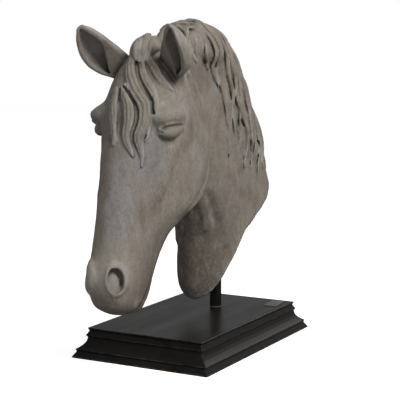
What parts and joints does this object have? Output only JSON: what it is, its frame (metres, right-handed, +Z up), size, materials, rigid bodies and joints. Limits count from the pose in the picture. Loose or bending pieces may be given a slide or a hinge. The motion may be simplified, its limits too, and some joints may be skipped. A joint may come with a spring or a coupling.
{
  "type": "horse head sculpture on stand",
  "caption": "Cast horse head and neck with carved mane and forelock, painted driftwood grey, carried by a round rod on a moulded black rectangular plinth with a small blank plate.",
  "frame": {"origin": "centre of the plinth's underside", "axes": "+Z up; the horse faces -Y, along the plinth's long side; +X is the horse's left, the side its mane falls on"},
  "size_m": [0.2946, 0.6015, 0.6448],
  "materials": {
    "cast_stone_grey": "matt, grey-brown washes with rubbed lighter ridges",
    "black_rod": "satin black",
    "black_wood": "satin near-black stain with rubbed edges",
    "pewter_plate": "dull pewter, blank"
  },
  "bodies": {
    "root": {"horse_head": "cast_stone_grey", "rod": "black_rod", "plinth": "black_wood", "plaque": "pewter_plate"}
  },
  "joints": []
}
